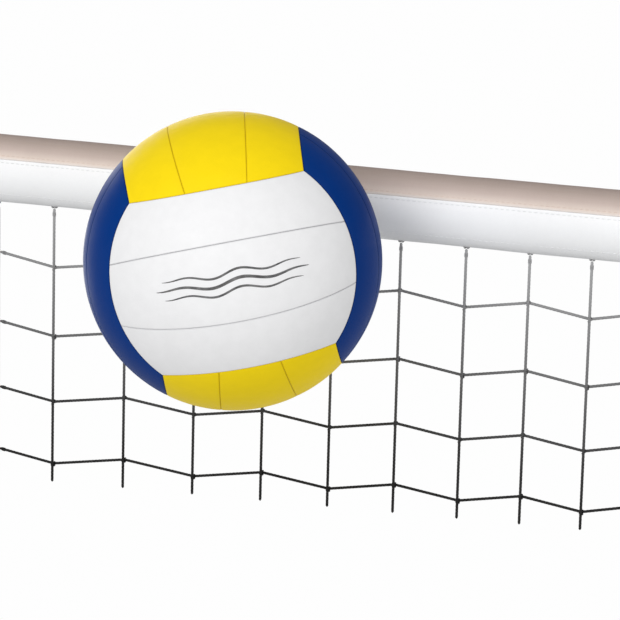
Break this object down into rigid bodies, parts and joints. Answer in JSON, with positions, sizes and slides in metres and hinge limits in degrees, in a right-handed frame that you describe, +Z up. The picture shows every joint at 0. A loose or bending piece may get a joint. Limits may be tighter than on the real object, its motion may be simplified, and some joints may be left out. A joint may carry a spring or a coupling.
{
  "type": "volleyball and net section",
  "caption": "Panelled volleyball in front of a short section of net, hung from a padded two-colour headline band with snap hooks at its ends.",
  "frame": {"origin": "middle of the headline cable, on its centre line", "axes": "+X along the net to its right end as seen from the ball, -Y towards the ball, +Z up"},
  "size_m": [0.8158, 0.2602, 0.3344],
  "materials": {
    "tan_canvas": "matt woven canvas",
    "white_vinyl": "satin vinyl-coated cloth",
    "foam": "open-cell foam",
    "cable_steel": "stranded galvanised wire",
    "net_cord": "twisted twine",
    "webbing": "flat-woven webbing",
    "dowel_rod": "smooth glass-fibre rod",
    "brass": "polished brass",
    "hook_steel": "bright plated steel",
    "ball_yellow": "soft synthetic leather, satin",
    "ball_white": "soft synthetic leather, satin",
    "ball_blue": "soft synthetic leather, satin",
    "carcass_cloth": "layered cotton cloth",
    "bladder_rubber": "smooth butyl rubber",
    "valve_rubber": "moulded rubber"
  },
  "bodies": {
    "band": {"foam_core": "foam", "upper_cover": "tan_canvas", "lower_cover": "white_vinyl", "headline_cable": "cable_steel", "hem_line": "net_cord", "left_end_cap": "white_vinyl", "left_ferrule": "hook_steel", "left_thimble": "hook_steel", "left_swivel_eye": "hook_steel", "right_end_cap": "white_vinyl", "right_ferrule": "hook_steel", "right_thimble": "hook_steel", "right_swivel_eye": "hook_steel"},
    "net": {"upright_cord_1": "net_cord", "upright_cord_2": "net_cord", "upright_cord_3": "net_cord", "upright_cord_4": "net_cord", "upright_cord_5": "net_cord", "upright_cord_6": "net_cord", "upright_cord_7": "net_cord", "upright_cord_8": "net_cord", "upright_cord_9": "net_cord", "row_cord_1": "net_cord", "row_cord_2": "net_cord", "row_cord_3": "net_cord", "row_cord_4": "net_cord", "left_side_band": "webbing", "left_dowel": "dowel_rod", "left_grommet": "brass", "right_side_band": "webbing", "right_dowel": "dowel_rod", "right_grommet": "brass"},
    "ball": {"front_panel_a": "ball_white", "front_panel_b": "ball_white", "front_panel_c": "ball_white", "back_panel_a": "ball_white", "back_panel_b": "ball_white", "back_panel_c": "ball_white", "top_panel_a": "ball_yellow", "top_panel_b": "ball_yellow", "top_panel_c": "ball_yellow", "bottom_panel_a": "ball_yellow", "bottom_panel_b": "ball_yellow", "bottom_panel_c": "ball_yellow", "right_panel_a": "ball_blue", "right_panel_b": "ball_blue", "right_panel_c": "ball_blue", "left_panel_a": "ball_blue", "left_panel_b": "ball_blue", "left_panel_c": "ball_blue", "carcass": "carcass_cloth", "bladder": "bladder_rubber", "valve": "valve_rubber"},
    "left_hook": {"left_hook_body": "hook_steel", "left_gate_pin": "hook_steel"},
    "right_hook": {"right_hook_body": "hook_steel", "right_gate_pin": "hook_steel"},
    "left_gate": {"left_gate": "hook_steel"},
    "right_gate": {"right_gate": "hook_steel"}
  },
  "joints": [
    {"name": "net_swing", "type": "hinge", "parent": "band", "child": "net", "pos_m": [0, 0, -0.028], "axis": [1, 0, 0], "range_deg": [-15, 25]},
    {"name": "ball_travel", "type": "slide", "parent": "band", "child": "ball", "axis": [0, 1, 0], "range_m": [-0.12, 0.014]},
    {"name": "left_hook_swivel", "type": "hinge", "parent": "band", "child": "left_hook", "pos_m": [-0.37, 0, 0], "axis": [-1, 0, 0], "continuous": true},
    {"name": "right_hook_swivel", "type": "hinge", "parent": "band", "child": "right_hook", "pos_m": [0.37, 0, 0], "axis": [1, 0, 0], "continuous": true},
    {"name": "left_gate_turn", "type": "hinge", "parent": "left_hook", "child": "left_gate", "pos_m": [-0.3724, 0, 0.0096], "axis": [0, -1, 0], "range_deg": [0, 28], "stiffness_Nm_per_rad": 0.02, "springref_deg": -17.19},
    {"name": "right_gate_turn", "type": "hinge", "parent": "right_hook", "child": "right_gate", "pos_m": [0.3724, 0, 0.0096], "axis": [0, 1, 0], "range_deg": [0, 28], "stiffness_Nm_per_rad": 0.02, "springref_deg": -17.19}
  ]
}
